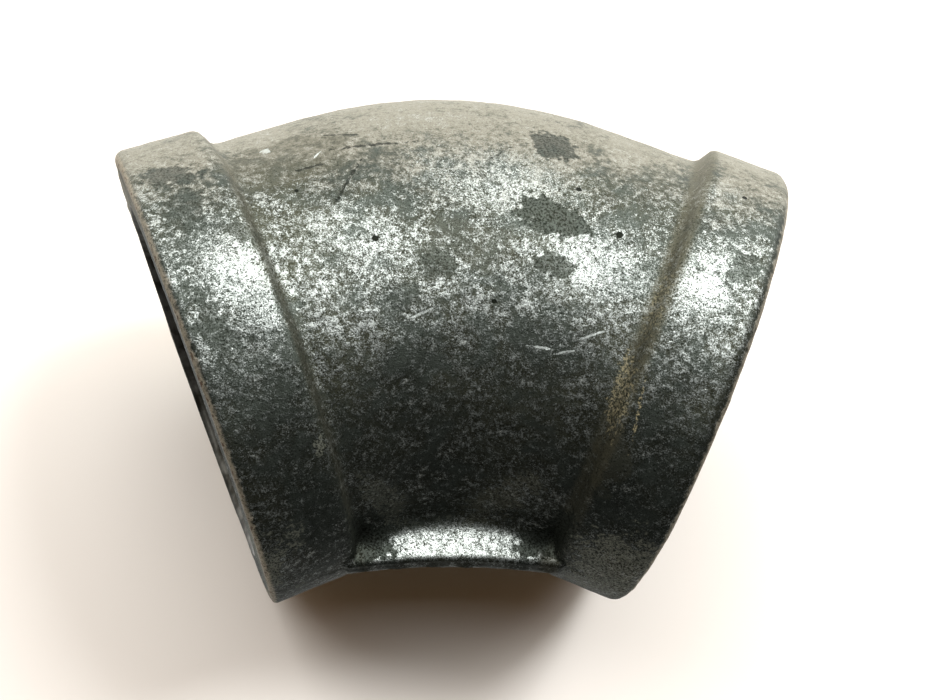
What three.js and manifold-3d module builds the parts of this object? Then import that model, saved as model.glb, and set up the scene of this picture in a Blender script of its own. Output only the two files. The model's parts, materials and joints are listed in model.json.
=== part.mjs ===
// A banded 45 degree pipe elbow: one malleable-iron casting with a tapered female pipe thread tapped
// in each end. Millimetres, +Z up. The elbow lies on its side, so the plane of its bend is level and
// both bands touch the ground plane. X runs across the two mouths and +Y points at the bend's back.
//
// The casting is modelled about the corner where the two socket axes cross, then moved so that the
// origin is the middle of the footprint on the ground plane.

import * as THREE from "three";
import { mergeVertices, toCreasedNormals } from "three/addons/utils/BufferGeometryUtils.js";
import Module from "manifold-3d";

// ---- driving dimensions ----------------------------------------------------------------------

const BEND_ANGLE = 45; // degrees that the pipe run turns through
const CENTRE_TO_END = 32.77; // from the corner of the two socket axes to each end face

const THREADS_PER_INCH = 11.5;
const PITCH_DIAMETER = 40.218; // of the thread at the end face
const THREAD_TAPER = 1 / 16; // loss of diameter per unit of depth
const FLANK_ANGLE = 30; // degrees between a thread flank and a plane across the axis
const THREAD_FLAT = 0.16; // width of each crest and each root
const COUNTERSINK = 0.5; // how far the mouth's chamfer reaches beyond the thread's root

const RECESS_RELIEF = 0.67; // radial clearance of the cast waterway behind the thread's root
const RECESS_RUN = 3.5; // straight waterway between the last turn and the bend
const WALL = 3.68; // metal between waterway and shell
const THROAT_RADIUS = 1.7; // inside radius of the shell's bend

const BAND_WIDTH = 8.66;
const BAND_HEIGHT = 2.07; // of a band above the shell
const BAND_END_ROUND = 1.6; // outer corner of each end face
const SHOULDER_LENGTH = 3; // run of the S-shaped shoulder from band down to shell

const RIB_THICKNESS = 3;
const RIB_FILLET = 5; // between the throat rib and the shell
const RIB_ARCH = 0.6; // rise of the rib's free edge at mid span

// ---- facets ----------------------------------------------------------------------------------

const AROUND = 48; // facets round the outside and the waterway
const THREAD_FACETS = 30; // facets to one turn of thread
const ARC_STEPS = 3; // facets to a rounded corner or half a shoulder
const BEND_STEPS = 8; // facets along the bend
const OVERRUN = 0.3; // how far a cutting tool passes the face it cuts through
const BITE = 1; // how far the rib is sunk in the metal that it joins
const CREASE = THREE.MathUtils.degToRad(35); // edges sharper than this stay hard

// ---- derived dimensions ----------------------------------------------------------------------

const MM_PER_INCH = 25.4;
const halfBend = THREE.MathUtils.degToRad(BEND_ANGLE / 2);
const pitch = MM_PER_INCH / THREADS_PER_INCH;
const flankRun = pitch / 2 - THREAD_FLAT;
const threadHeight = flankRun / Math.tan(THREE.MathUtils.degToRad(FLANK_ANGLE));
const rootRadius = (PITCH_DIAMETER + threadHeight) / 2;
const crestRadius = rootRadius - threadHeight;
const mouthRadius = rootRadius + COUNTERSINK;
const recessRadius = rootRadius + RECESS_RELIEF;
const shellRadius = recessRadius + WALL;
const bandRadius = shellRadius + BAND_HEIGHT;
const bendRadius = shellRadius + THROAT_RADIUS;
const straightRun = CENTRE_TO_END - bendRadius * Math.tan(halfBend);
const halfArc = bendRadius * halfBend;
const halfRun = halfArc + straightRun; // from mid bend to an end face, along the centreline
const threadLength = straightRun - RECESS_RUN;
const bendCentreY = -bendRadius / Math.cos(halfBend);

// The frame of the centreline at a distance from mid bend: a point, the direction of the run, and
// the direction away from the centre of the bend.
function centrelineFrame(distance) {
  const onArc = THREE.MathUtils.clamp(distance, -halfArc, halfArc);
  const turned = onArc / bendRadius;
  const away = new THREE.Vector3(Math.sin(turned), Math.cos(turned), 0);
  const along = new THREE.Vector3(Math.cos(turned), -Math.sin(turned), 0);
  const point = new THREE.Vector3(0, bendCentreY, 0)
    .addScaledVector(away, bendRadius)
    .addScaledVector(along, distance - onArc);
  return { point, along, away };
}

// ---- solids ----------------------------------------------------------------------------------

const wasm = await Module();
wasm.setup();

function solidFrom(geometry) {
  const bare = geometry.clone();
  bare.deleteAttribute("normal");
  bare.deleteAttribute("uv");
  const merged = mergeVertices(bare);
  const corners = [];
  for (let i = 0; i < merged.index.count; i += 3) {
    const [a, b, c] = [0, 1, 2].map((k) => merged.index.getX(i + k));
    if (a !== b && b !== c && c !== a) corners.push(a, b, c); // a fan's tip folds some facets away
  }
  return new wasm.Manifold(
    new wasm.Mesh({
      numProp: 3,
      vertProperties: merged.attributes.position.array,
      triVerts: new Uint32Array(corners),
    }),
  );
}

function geometryFrom(solid) {
  const { vertProperties, triVerts } = solid.getMesh();
  const geometry = new THREE.BufferGeometry();
  geometry.setAttribute("position", new THREE.BufferAttribute(vertProperties, 3));
  geometry.setIndex(new THREE.BufferAttribute(triVerts, 1));
  return toCreasedNormals(geometry, CREASE);
}

// A turned shape whose axis follows the centreline. The outline's x is the radius, and its y is the
// distance from mid bend.
function turnedAlongBend(outline) {
  const geometry = new THREE.LatheGeometry(outline, AROUND);
  const position = geometry.attributes.position;
  const vertex = new THREE.Vector3();
  for (let i = 0; i < position.count; i++) {
    vertex.fromBufferAttribute(position, i);
    const { point, away } = centrelineFrame(vertex.y);
    point.addScaledVector(away, vertex.z);
    position.setXYZ(i, point.x, point.y, vertex.x);
  }
  return solidFrom(geometry);
}

// Points on an arc from one angle to another, without the first.
function arc(x, y, radius, from, to) {
  return Array.from({ length: ARC_STEPS }, (_, i) => {
    const angle = THREE.MathUtils.lerp(from, to, (i + 1) / ARC_STEPS);
    return new THREE.Vector2(x + radius * Math.cos(angle), y + radius * Math.sin(angle));
  });
}

// Distances from mid bend at which a bent shape needs a ring, from one tangent point to the other.
function bendStations() {
  return Array.from({ length: BEND_STEPS + 1 }, (_, i) =>
    THREE.MathUtils.lerp(-halfArc, halfArc, i / BEND_STEPS),
  );
}

// ---- the outside -----------------------------------------------------------------------------

// One end's outline, from the shell out over the band and round to the end face. The shoulder is an
// S of two equal arcs, hollow at the shell and full at the band.
function bandOutline() {
  const step = new THREE.Vector2(SHOULDER_LENGTH, BAND_HEIGHT);
  const shoulderRadius = step.lengthSq() / (4 * step.y);
  const sweep = 2 * Math.atan2(step.y, step.x);
  const bandStart = halfRun - BAND_WIDTH;
  const shoulderStart = bandStart - SHOULDER_LENGTH;
  return [
    new THREE.Vector2(shellRadius, shoulderStart),
    ...arc(shellRadius + shoulderRadius, shoulderStart, shoulderRadius, Math.PI, Math.PI - sweep),
    ...arc(bandRadius - shoulderRadius, bandStart, shoulderRadius, -sweep, 0),
    new THREE.Vector2(bandRadius, halfRun - BAND_END_ROUND),
    ...arc(bandRadius - BAND_END_ROUND, halfRun - BAND_END_ROUND, BAND_END_ROUND, 0, Math.PI / 2),
    new THREE.Vector2(0, halfRun),
  ];
}

function mirrored(outline) {
  return outline.map((p) => new THREE.Vector2(p.x, -p.y)).reverse();
}

function outside() {
  const end = bandOutline();
  const bend = bendStations().map((distance) => new THREE.Vector2(shellRadius, distance));
  return turnedAlongBend([...mirrored(end), ...bend, ...end]);
}

// ---- the throat rib --------------------------------------------------------------------------

// A point of the right-hand end, given by its depth from the end face and its height above the
// socket's axis, on the throat's side.
function onThroatSide(depth, radius) {
  const { point, along, away } = centrelineFrame(halfRun);
  return point.addScaledVector(along, -depth).addScaledVector(away, -radius);
}

// Seen from above, the rib fills the corner between the two bands and arches a little at mid span.
function ribPlan() {
  const corner = onThroatSide(BAND_WIDTH, bandRadius);
  const sunk = onThroatSide(BAND_WIDTH - BITE, bandRadius - BITE);
  const top = bendCentreY + THROAT_RADIUS + BITE;
  return new THREE.Shape()
    .moveTo(-sunk.x, sunk.y)
    .lineTo(-corner.x, corner.y)
    .quadraticCurveTo(0, corner.y + 2 * RIB_ARCH, corner.x, corner.y)
    .lineTo(sunk.x, sunk.y)
    .lineTo(sunk.x, top)
    .lineTo(-sunk.x, top);
}

// Across the span the rib is a web of even thickness whose root flares into the shell on both sides.
function ribSection(edge, top) {
  const half = RIB_THICKNESS / 2;
  const shellY = bendCentreY + bendRadius;
  const filletX = half + RIB_FILLET;
  const reach = shellRadius + RIB_FILLET;
  const filletY = shellY - Math.sqrt(reach ** 2 - filletX ** 2);
  const flare = Math.atan2(shellY - filletY, -filletX);
  const right = arc(filletX, filletY, RIB_FILLET, Math.PI, flare);
  const side = [
    new THREE.Vector2(half, edge),
    new THREE.Vector2(half, filletY),
    ...right,
    new THREE.Vector2(right.at(-1).x, top),
  ];
  const otherSide = side.map((p) => new THREE.Vector2(-p.x, p.y)).reverse();
  return new THREE.Shape([...side, ...otherSide]);
}

function throatRib() {
  const plan = new THREE.ExtrudeGeometry(ribPlan(), {
    depth: 2 * shellRadius,
    bevelEnabled: false,
  }).translate(0, 0, -shellRadius);
  plan.computeBoundingBox();
  const { min, max } = plan.boundingBox;
  const width = max.x - min.x + 2 * OVERRUN;
  const section = new THREE.ExtrudeGeometry(ribSection(min.y - OVERRUN, max.y), {
    depth: width,
    bevelEnabled: false,
  })
    .translate(0, 0, -width / 2)
    .rotateY(Math.PI / 2);
  return solidFrom(plan).intersect(solidFrom(section));
}

// ---- the inside ------------------------------------------------------------------------------

function waterway() {
  const end = halfRun - threadLength;
  const distances = [-end, ...bendStations(), end];
  const wall = distances.map((distance) => new THREE.Vector2(recessRadius, distance));
  return turnedAlongBend([new THREE.Vector2(0, -end), ...wall, new THREE.Vector2(0, end)]);
}

// The tap: a right-hand screw along +Y with the end face at y = 0. Its rows follow the thread, so a
// column that has gone once round continues the first column one pitch further on.
function tap() {
  const row = [
    { rise: 0, root: false },
    { rise: THREAD_FLAT, root: false },
    { rise: THREAD_FLAT + flankRun, root: true },
    { rise: 2 * THREAD_FLAT + flankRun, root: true },
  ];
  const start = -(threadLength + OVERRUN + pitch);
  const turns = Math.ceil((2 * OVERRUN + threadLength + pitch) / pitch);
  const rows = turns * row.length;
  const positions = [];
  const faces = [];
  for (let j = 0; j < THREAD_FACETS; j++) {
    const angle = (2 * Math.PI * j) / THREAD_FACETS;
    for (let i = 0; i <= rows; i++) {
      const { rise, root } = row[i % row.length];
      const turn = Math.floor(i / row.length) + j / THREAD_FACETS;
      const y = start + turn * pitch + rise;
      const radius = (root ? rootRadius : crestRadius) + (y * THREAD_TAPER) / 2;
      positions.push(radius * Math.sin(angle), y, radius * Math.cos(angle));
    }
  }
  const tips = [start, start + turns * pitch].map((y) => positions.push(0, y, 0) / 3 - 1);
  const index = (i, j) =>
    j < THREAD_FACETS ? j * (rows + 1) + i : i + row.length; // past the last column
  for (let j = 0; j < THREAD_FACETS; j++) {
    const end = j < THREAD_FACETS - 1 ? rows : rows - row.length;
    for (let i = 0; i < end; i++) {
      const [a, b, c, d] = [index(i, j), index(i, j + 1), index(i + 1, j + 1), index(i + 1, j)];
      faces.push(a, b, c, a, c, d);
    }
    faces.push(tips[0], index(0, j + 1), index(0, j));
    if (j < THREAD_FACETS - 1) faces.push(tips[1], index(rows, j), index(rows, j + 1));
  }
  const lastColumn = THREAD_FACETS - 1;
  for (let i = 0; i < row.length; i++) {
    faces.push(tips[0], index(i, 0), index(i + 1, 0));
    faces.push(tips[1], index(rows - i, lastColumn), index(rows - i - 1, lastColumn));
  }
  faces.push(tips[1], index(rows - row.length, lastColumn), index(rows, 0));
  const geometry = new THREE.BufferGeometry();
  geometry.setAttribute("position", new THREE.Float32BufferAttribute(positions, 3));
  geometry.setIndex(faces);
  return geometry;
}

// A 45 degree cone, whose rim leads the pipe into the thread.
function countersink() {
  return new THREE.LatheGeometry(
    [
      new THREE.Vector2(0, -mouthRadius),
      new THREE.Vector2(mouthRadius + OVERRUN, OVERRUN),
      new THREE.Vector2(0, OVERRUN),
    ],
    AROUND,
  );
}

// Everything that a lathe cuts in one end, put on the right-hand socket's axis. The other end is cut
// by the same tools turned half round about Y, which keeps both threads right-handed.
function socketTools() {
  const { point, along, away } = centrelineFrame(halfRun);
  const up = new THREE.Vector3(0, 0, 1);
  const placed = new THREE.Matrix4().makeBasis(up, along, away).setPosition(point);
  return [new THREE.Matrix4(), new THREE.Matrix4().makeRotationY(Math.PI)].flatMap((turned) =>
    [tap(), countersink()].map((tool) =>
      solidFrom(tool.applyMatrix4(turned.clone().multiply(placed))),
    ),
  );
}

// ---- the casting -----------------------------------------------------------------------------

function elbowCasting() {
  let casting = outside().add(throatRib()).subtract(waterway());
  for (const tool of socketTools()) casting = casting.subtract(tool);
  const galvanisedIron = new THREE.MeshStandardMaterial({
    color: 0x6f7370,
    roughness: 0.55,
    metalness: 0.85,
  });
  const mesh = new THREE.Mesh(geometryFrom(casting), galvanisedIron);
  mesh.name = "elbow_casting";
  return mesh;
}

const casting = elbowCasting();
casting.geometry.computeBoundingBox();
const { min, max } = casting.geometry.boundingBox;
casting.position.set(-(min.x + max.x) / 2, -(min.y + max.y) / 2, -min.z);

const elbow = new THREE.Group();
elbow.name = "pipe_elbow";
elbow.add(casting);

export default elbow;
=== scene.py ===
"""Looks of a galvanised 45 degree pipe elbow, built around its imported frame.

The fitting is one iron casting: a bent shell, a raised band round each mouth, a web across the throat and
a tapered pipe thread tapped in each end. One closed mesh stands for it. Its outside is a grid of rings that
follow the run, set on the surface that the sizes below describe. Its inside is the true screw thread and
the cast waterway. Lengths are in metres and angles in radians unless a name says otherwise.
"""

import json
import logging
import math
from dataclasses import dataclass, field
from enum import Enum
from typing import Any, Callable, ClassVar, Iterable, Mapping, Sequence

import bmesh
import bpy
import numpy as np
from mathutils import Matrix, Vector, noise

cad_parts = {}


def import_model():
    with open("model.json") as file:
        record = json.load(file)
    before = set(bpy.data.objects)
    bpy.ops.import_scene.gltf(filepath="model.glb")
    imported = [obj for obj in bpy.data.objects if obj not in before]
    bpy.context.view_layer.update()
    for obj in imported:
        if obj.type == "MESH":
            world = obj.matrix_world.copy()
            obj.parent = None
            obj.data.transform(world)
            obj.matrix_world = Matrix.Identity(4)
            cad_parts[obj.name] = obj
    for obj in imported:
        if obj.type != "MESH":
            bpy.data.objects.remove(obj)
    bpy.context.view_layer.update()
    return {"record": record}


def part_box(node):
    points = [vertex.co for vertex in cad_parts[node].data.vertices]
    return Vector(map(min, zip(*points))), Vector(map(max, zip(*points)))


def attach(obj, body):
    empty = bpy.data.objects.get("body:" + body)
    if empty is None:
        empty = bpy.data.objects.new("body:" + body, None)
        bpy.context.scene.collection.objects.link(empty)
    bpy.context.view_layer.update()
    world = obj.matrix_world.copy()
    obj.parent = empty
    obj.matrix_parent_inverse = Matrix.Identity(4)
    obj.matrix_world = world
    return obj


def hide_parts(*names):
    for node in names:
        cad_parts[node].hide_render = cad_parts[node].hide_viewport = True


MM = 0.001
NODE = "elbow_casting"
LOG = logging.getLogger("elbow")

UP = np.array([0.0, 0.0, 1.0])
BEND_INSET = 0.365 * MM
MERGE_DISTANCE = 2e-7
HALVINGS = 32

Colour = tuple[float, float, float]


# ---- the run -------------------------------------------------------------------------------------


@dataclass
class PipeRun:
    """The centreline of the fitting: a straight, an arc and a straight, level with the ground.

    Places are measured from the corner, the point where the two socket axes cross, with x across the
    mouths, y towards the back of the bend and z up.

    Attributes:
        half_angle: Half of the angle that the run turns through.
        centre_to_end: From the corner to each end face.
        bend_radius: Radius of the arc.
        corner: The corner's place in the frame.
    """

    half_angle: float
    centre_to_end: float
    bend_radius: float
    corner: Vector

    def __post_init__(self) -> None:
        """Works out the lengths that follow from the sizes."""
        self.tangent = self.bend_radius * math.tan(self.half_angle)
        self.half_arc = self.bend_radius * self.half_angle
        self.half_run = self.half_arc + self.centre_to_end - self.tangent
        self.arc_centre_y = -self.bend_radius / math.cos(self.half_angle)

    @classmethod
    def from_frame(cls, record: Mapping[str, Any], middle: Vector, bend_radius: float) -> "PipeRun":
        """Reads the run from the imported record.

        Args:
            record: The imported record, whose right_end mount is a point of that end face and its normal.
            middle: The middle of the fitting's box.
            bend_radius: Radius of the arc.

        Returns:
            The run, with its corner in the plane of symmetry.
        """
        mount = next(m for m in record["mounts"] if m["name"] == "right_end")
        axis, face = Vector(mount["axis"]), Vector(mount["pos_m"])
        centre_to_end = face.x / axis.x
        corner = Vector((0.0, face.y - centre_to_end * axis.y, middle.z))
        return cls(math.atan2(-axis.y, axis.x), centre_to_end, bend_radius, corner)

    def from_axis(self, x: np.ndarray, y: np.ndarray) -> tuple[np.ndarray, np.ndarray]:
        """Finds places along and beside the axis of the nearer socket.

        Args:
            x: Distances across the mouths, without their sign.
            y: Distances towards the back.

        Returns:
            The distance out along the axis from the corner, and the distance beside it.
        """
        sine, cosine = math.sin(self.half_angle), math.cos(self.half_angle)
        return x * cosine - y * sine, x * sine + y * cosine

    def locate(self, points: np.ndarray) -> tuple[np.ndarray, np.ndarray]:
        """Finds points along the run, taking both halves as one.

        Args:
            points: Places, with x, y and z on the last axis.

        Returns:
            The distance from mid bend, and the distance from the centreline in the level plane.
        """
        x, y = np.abs(points[..., 0]), points[..., 1]
        along, across = self.from_axis(x, y)
        from_centre = y - self.arc_centre_y
        straight = along >= self.tangent
        turned = np.arctan2(x, from_centre) * self.bend_radius
        distance = np.where(straight, self.half_arc + along - self.tangent, turned)
        offset = np.where(straight, across, np.hypot(x, from_centre) - self.bend_radius)
        return distance, offset


class End(Enum):
    """The two ends of the fitting, with the sign of x on each."""

    LEFT = -1.0
    RIGHT = 1.0

    def directions(self, run: PipeRun) -> tuple[np.ndarray, np.ndarray]:
        """Gives the unit vectors out of the mouth and away from the throat.

        Args:
            run: The centreline.

        Returns:
            The two vectors, both level.
        """
        side, sine, cosine = self.value, math.sin(run.half_angle), math.cos(run.half_angle)
        return np.array([side * cosine, -sine, 0.0]), np.array([side * sine, cosine, 0.0])


# ---- shapes --------------------------------------------------------------------------------------


def smooth_step(value: np.ndarray | float) -> np.ndarray:
    """Eases from 0 to 1 as the value goes from 0 to 1."""
    held = np.clip(value, 0.0, 1.0)
    return held * held * (3.0 - 2.0 * held)


def spokes(turn: np.ndarray, away: np.ndarray) -> np.ndarray:
    """Gives unit vectors across a level axis, turned from the given level one upwards."""
    return np.cos(turn)[:, None] * away + np.sin(turn)[:, None] * UP


def round_union(first: np.ndarray, second: np.ndarray, radius: np.ndarray) -> np.ndarray:
    """Joins two solids with a hollow fillet.

    Args:
        first: Signed distances to the first solid, negative inside.
        second: Signed distances to the second solid.
        radius: The fillet's radius at each point.

    Returns:
        Signed distances to the joined solid.
    """
    nearer = np.minimum(first, second)
    reach = np.hypot(np.maximum(radius - first, 0.0), np.maximum(radius - second, 0.0))
    return np.where(nearer < radius, np.maximum(radius, nearer) - reach, nearer)


def round_cut(first: np.ndarray, second: np.ndarray, radius: float) -> np.ndarray:
    """Keeps what is inside both solids, with its outer edge rounded over."""
    return -round_union(-first, -second, np.full_like(first, radius))


def crossing(depth: Callable[[np.ndarray], np.ndarray], low: np.ndarray, high: np.ndarray) -> np.ndarray:
    """Finds how far along each ray the surface is.

    Args:
        depth: Signed distance at a distance along each ray, negative inside the metal.
        low: A distance on each ray that is inside the metal.
        high: A distance on each ray that is outside it.

    Returns:
        The distance along each ray at which the sign changes.
    """
    for _ in range(HALVINGS):
        middle = (low + high) / 2.0
        inside = depth(middle) < 0.0
        low, high = np.where(inside, middle, low), np.where(inside, high, middle)
    return (low + high) / 2.0


@dataclass
class Grid:
    """Rows of points that are joined to a surface.

    Attributes:
        rows: The points, by row and place in the row.
        closed: Whether each row closes on itself.
    """

    rows: np.ndarray
    closed: bool = True

    def faces(self, first: int) -> list[tuple[int, int, int, int]]:
        """Lists the grid's faces.

        Args:
            first: The number of the grid's first vertex.

        Returns:
            The vertex numbers of each face.
        """
        rows, columns = self.rows.shape[:2]
        last = columns if self.closed else columns - 1
        return [
            (
                first + i * columns + j,
                first + i * columns + (j + 1) % columns,
                first + (i + 1) * columns + (j + 1) % columns,
                first + (i + 1) * columns + j,
            )
            for i in range(rows - 1)
            for j in range(last)
        ]


@dataclass
class Thread:
    """A right-hand taper pipe thread, cut from an end face inwards.

    Attributes:
        pitch: Distance between turns.
        pitch_radius: Radius of the thread's middle at the end face.
        taper: Loss of radius per unit of depth.
        flat: Width of each crest and root.
        flank_angle: Between a flank and a plane across the axis.
        countersink: How far the mouth's chamfer reaches beyond the roots.
    """

    pitch: float = 25.4 / 11.5 * MM
    pitch_radius: float = 20.109 * MM
    taper: float = 1.0 / 32.0
    flat: float = 0.16 * MM
    flank_angle: float = math.radians(30.0)
    countersink: float = 0.5 * MM

    def __post_init__(self) -> None:
        """Works out the thread's form."""
        self.flank = self.pitch / 2.0 - self.flat
        self.height = self.flank / math.tan(self.flank_angle)
        self.root_radius = self.pitch_radius + self.height / 2.0
        self.mouth_radius = self.root_radius + self.countersink

    def steps(self) -> np.ndarray:
        """Finds where in one pitch the thread's outline has a point.

        Returns:
            The places, as shares of the pitch.
        """
        flat, flank = self.flat / self.pitch, self.flank / self.pitch
        crest = [0.0, flat, flat + flank / 2.0]
        root = [flat + flank, 2 * flat + flank, 2 * flat + 1.5 * flank]
        return np.array(crest + root)

    def radius(self, depth: np.ndarray, share: np.ndarray) -> np.ndarray:
        """Gives the thread's radius.

        Args:
            depth: Distance in from the end face.
            share: Place within the pitch, from 0 to 1, counted from the start of a crest.

        Returns:
            The distance from the axis to the metal.
        """
        flat, flank = self.flat / self.pitch, self.flank / self.pitch
        stops = [0.0, flat, flat + flank, 2 * flat + flank, 1.0]
        rise = np.interp(share % 1.0, stops, [-1.0, -1.0, 0.0, 0.0, -1.0])
        return self.root_radius + rise * self.height - depth * self.taper


@dataclass
class ElbowCasting:
    """The one-piece casting, and the sizes of its bands, shell, web and waterway.

    Attributes:
        run: The centreline.
        band_radius: Radius of the raised bands.
        band_width: Width of a band from its end face.
        band_height: Height of a band above the shell.
        shoulder: Length of the slope from band to shell.
        throat_radius: Radius of the shell's inside bend, seen from above.
        end_rounds: Radius of each end's outer corner, on the throat's side and at the back.
        web_half: Half of the web's thickness at its free edge.
        web_draft: How much thicker each side of the web grows per unit of height.
        web_fillet: Radius between web and shell.
        web_flare: Extra share of that radius where the web meets the bands.
        flare_span: Where that growth starts and over what length, as shares of the web's half length.
        web_root: Height on the shell below which the outline is traced from the web's middle.
        web_rim: Distance in from the free edge at which the tracing turns round it.
        web_drop: How far the web's free edge stands out past the bands' inner corners.
        web_arch: Rise of the web's free edge at mid span.
        web_edge: Rounding of the free edge.
        recess_radius: Radius of the cast waterway.
        recess_run: Straight waterway between the thread and the bend.
        runout: Loss of the waterway's radius per unit of depth, where the last turns run out into it.
        thread: The thread in each end.
        rays: Rays that trace an outline: round the shell, along the web and round its free edge.
        around: Points round the outside.
        thread_columns: Points round the inside, a quarter of those outside.
        fan_planes: Rings of points from one band to the other.
        band_rows: Rows of points over a band, round its corner and across its end face.
        bend_rows: Rings of points along the waterway.
    """

    run: PipeRun
    band_radius: float
    band_width: float = 8.66 * MM
    band_height: float = 2.07 * MM
    shoulder: float = 2.7 * MM
    throat_radius: float = 24.0 * MM
    end_rounds: Mapping[End, tuple[float, float]] = field(
        default_factory=lambda: {End.LEFT: (0.7 * MM, 1.4 * MM), End.RIGHT: (1.7 * MM, 1.9 * MM)}
    )
    web_half: float = 1.7 * MM
    web_draft: float = 0.03
    web_fillet: float = 1.9 * MM
    web_flare: float = 0.9
    flare_span: tuple[float, float] = (0.45, 0.5)
    web_root: float = 7.0 * MM
    web_rim: float = 0.9 * MM
    web_drop: float = 0.5 * MM
    web_arch: float = 0.8 * MM
    web_edge: float = 0.5 * MM
    recess_radius: float = 21.6 * MM
    recess_run: float = 3.5 * MM
    runout: float = 0.8
    thread: Thread = field(default_factory=Thread)
    rays: tuple[int, int, int] = (300, 160, 40)
    around: int = 360
    thread_columns: int = 90
    fan_planes: int = 141
    band_rows: tuple[int, int, int] = (15, 7, 10)
    bend_rows: int = 26

    def __post_init__(self) -> None:
        """Works out the places that follow from the sizes."""
        self.shell_radius = self.band_radius - self.band_height
        self.thread_depth = self.run.centre_to_end - self.run.tangent - self.recess_run
        out, away = End.RIGHT.directions(self.run)
        inner = (self.run.centre_to_end - self.band_width) * out - self.band_radius * away
        self.web_end_x, self.web_end_y = float(inner[0]), float(inner[1])
        self.fan_y = self.web_end_y - self.web_end_x / math.tan(self.run.half_angle)

    # ---- the outside as a solid

    def outer_radius(self, depth: np.ndarray) -> np.ndarray:
        """Gives the radius of the outside, which steps from band to shell on two arcs of one radius.

        Args:
            depth: Distances from the nearer end face.

        Returns:
            The radius at each depth.
        """
        bend = (self.shoulder**2 + self.band_height**2) / (4.0 * self.band_height)
        run = np.clip(depth - self.band_width, 0.0, self.shoulder)
        near = np.minimum(run, self.shoulder - run)
        drop = bend - np.sqrt(np.maximum(bend**2 - near**2, 0.0))
        drop = np.where(run > 0.5 * self.shoulder, self.band_height - drop, drop)
        return self.band_radius - drop

    def throat_fullness(self, points: np.ndarray, offset: np.ndarray) -> np.ndarray:
        """Eases the offset of points on the throat's side, so that the shell fills its inside bend.

        Args:
            points: Places, with x, y and z on the last axis.
            offset: Their distance from the centreline, negative towards the throat.

        Returns:
            The offset of the same points in a shell whose inside bend is as tight as the run's.
        """
        half_angle = self.run.half_angle
        x, y = np.abs(points[..., 0]), points[..., 1]
        along, across = self.run.from_axis(x, y)
        reach = self.shell_radius + self.throat_radius
        from_centre = np.hypot(x, y + reach / math.cos(half_angle)) - self.throat_radius
        left = np.where(along >= reach * math.tan(half_angle), across + self.shell_radius, from_centre)
        depth = np.maximum(-offset, 0.0)
        eased = -depth * self.shell_radius / np.maximum(depth + left, 0.5 * self.shell_radius)
        return np.where(offset < 0.0, eased, offset)

    def depth_in_metal(self, points: np.ndarray) -> np.ndarray:
        """Measures how far points lie from the outside between the bands.

        Args:
            points: Places, with x, y and z on the last axis.

        Returns:
            The signed distances, negative in the metal.
        """
        distance, offset = self.run.locate(points)
        depth = self.run.half_run - distance
        height = np.abs(points[..., 2])
        shell = np.hypot(self.throat_fullness(points, offset), height) - self.outer_radius(depth)
        rise = self.web_arch * (1.0 - (points[..., 0] / self.web_end_x) ** 2)
        edge = self.web_end_y - self.web_drop + rise
        above_edge = points[..., 1] - edge
        web = height - self.web_half - self.web_draft * np.clip(above_edge, 0.0, self.web_fillet)
        web = np.maximum(web, offset)
        fading = smooth_step((depth - self.band_width) / (2.0 * self.shoulder))
        start, length = (share * self.web_end_x for share in self.flare_span)
        aside = smooth_step((np.abs(points[..., 0]) - start) / length)
        fillet = self.web_fillet * (1.0 + self.web_flare * aside) * fading + 1e-6
        joined = round_union(shell, web, fillet)
        return np.minimum(shell, round_cut(joined, -above_edge, self.web_edge))

    # ---- the outside as rings

    def outline(self, centre: np.ndarray, away: np.ndarray) -> np.ndarray:
        """Finds the outside where an upright plane cuts it, from the back round to the throat.

        Rays go out from the centreline at first. Near the throat they go sideways from the middle of the
        web, and at its free edge they turn down, so that none runs along a side of the web.

        Args:
            centre: Where the plane meets the centreline.
            away: The level direction in the plane, away from the throat.

        Returns:
            The upper half of the outline, at even distances.
        """

        def hits(origins: np.ndarray, directions: np.ndarray, reach: float) -> np.ndarray:
            """Sends rays in the plane from its level line to the surface.

            Args:
                origins: Where they start, as distances from the centreline.
                directions: Their directions, each as a level and an upright part.
                reach: A distance that is outside the metal on every ray.

            Returns:
                The places where they meet the surface, in the plane.
            """
            axes = np.stack([away, UP])
            starts = centre + origins[:, None] * away
            rays = directions @ axes
            far = crossing(
                lambda along: self.depth_in_metal(starts + along[:, None] * rays),
                np.full(len(rays), 1e-5),
                np.full(len(rays), reach),
            )
            return np.stack([origins, np.zeros_like(origins)], 1) + far[:, None] * directions

        on_shell, on_web, on_edge = self.rays
        turn = np.linspace(0.0, math.pi - math.asin(self.web_root / self.shell_radius), on_shell)
        round_shell = np.stack([np.cos(turn), np.sin(turn)], 1)
        body = hits(np.zeros_like(turn), round_shell, 2.0 * self.band_radius)
        to_throat = hits(np.zeros(1), np.array([[-1.0, 0.0]]), 2.0 * self.band_radius)
        lowest = to_throat[0, 0] + self.web_rim
        levels = np.linspace(body[-1, 0], lowest, on_web)[1:]
        sides = hits(levels, np.tile([0.0, 1.0], (len(levels), 1)), self.band_radius)
        turn = np.linspace(0.0, math.pi / 2.0, on_edge)[1:]
        round_edge = np.stack([-np.sin(turn), np.cos(turn)], 1)
        edge = hits(np.full_like(turn, lowest), round_edge, self.band_radius)
        line = np.concatenate([body, sides, edge])
        length = np.concatenate([[0.0], np.cumsum(np.hypot(*np.diff(line, axis=0).T))])
        even = np.linspace(0.0, length[-1], self.around // 2 + 1)
        return np.stack([np.interp(even, length, line[:, k]) for k in (0, 1)], 1)

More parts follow.
